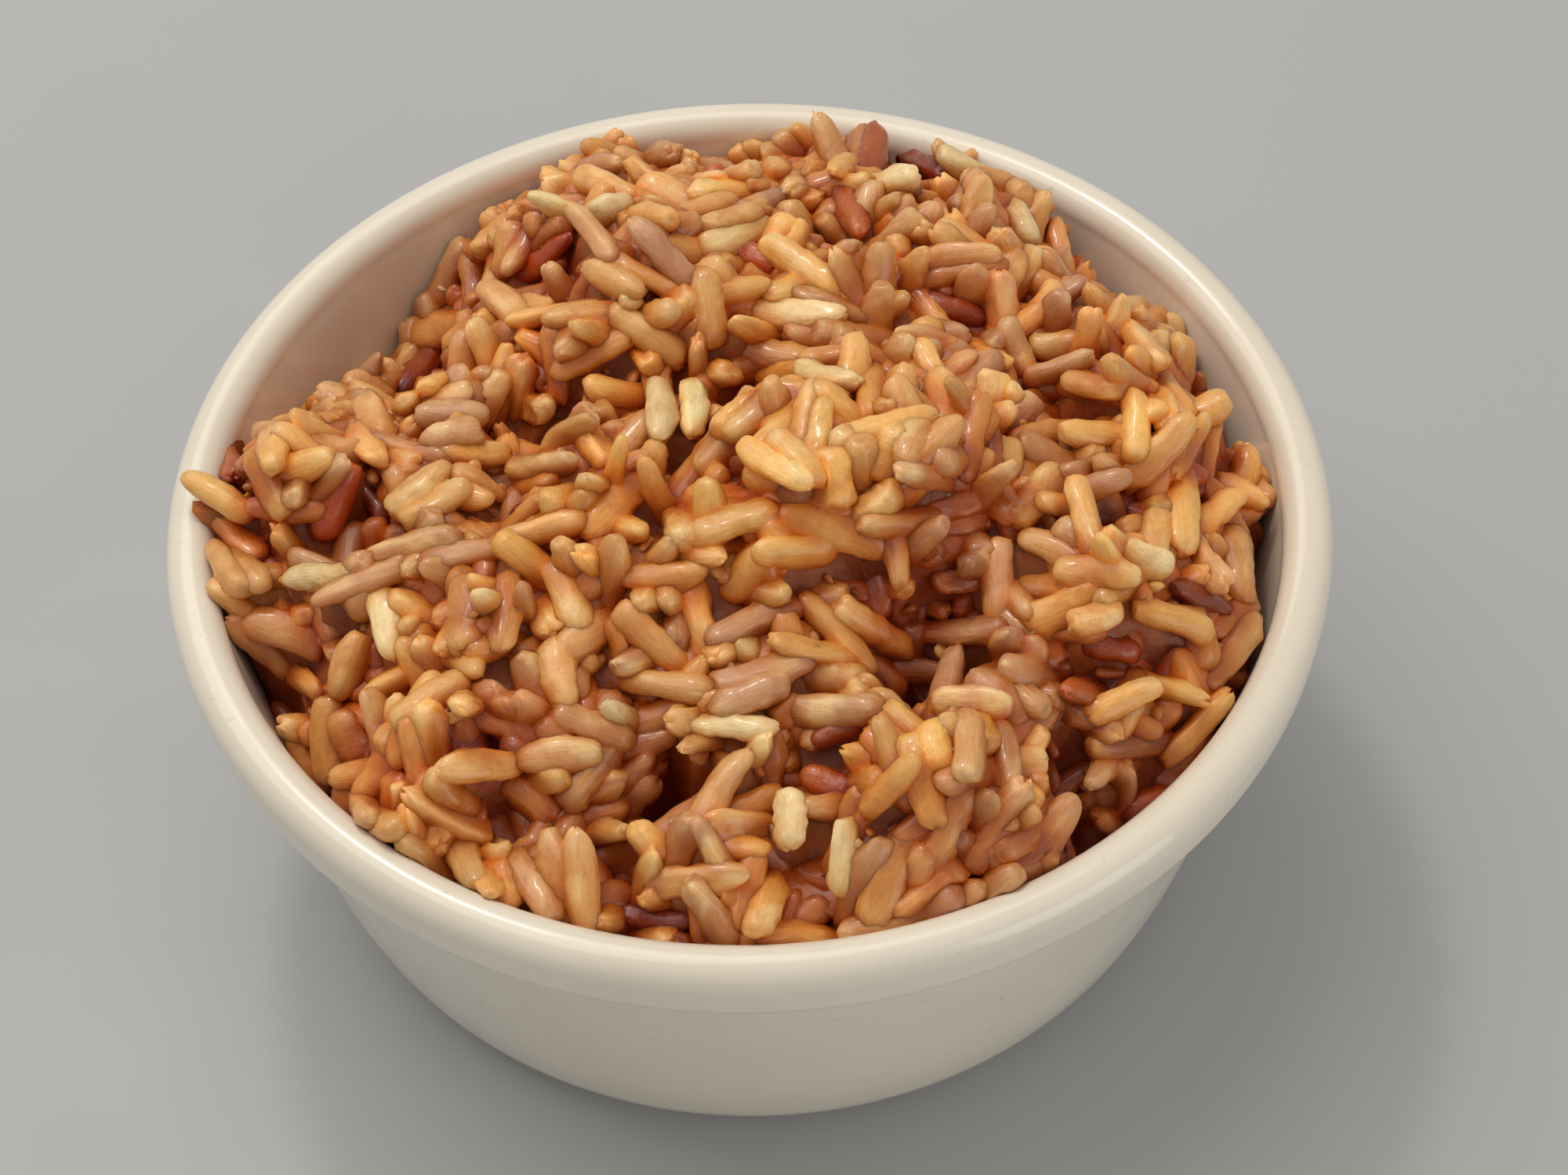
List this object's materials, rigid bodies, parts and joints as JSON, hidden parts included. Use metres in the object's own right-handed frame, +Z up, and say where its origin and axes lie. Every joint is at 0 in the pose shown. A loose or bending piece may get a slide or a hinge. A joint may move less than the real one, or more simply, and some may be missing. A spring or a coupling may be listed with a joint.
{
  "type": "bowl of brown rice",
  "caption": "Small round white glazed bowl with a thick rolled rim, heaped with cooked brown rice, to stand on a table.",
  "frame": {"origin": "middle of the bowl's foot, on the surface it stands on", "axes": "+Z up, -Y towards the viewer, +X to the viewer's right"},
  "size_m": [0.105, 0.105, 0.0575],
  "materials": {
    "glaze": "gloss",
    "rice": "satin"
  },
  "bodies": {
    "root": {"bowl": "glaze", "rice": "rice"}
  },
  "joints": []
}
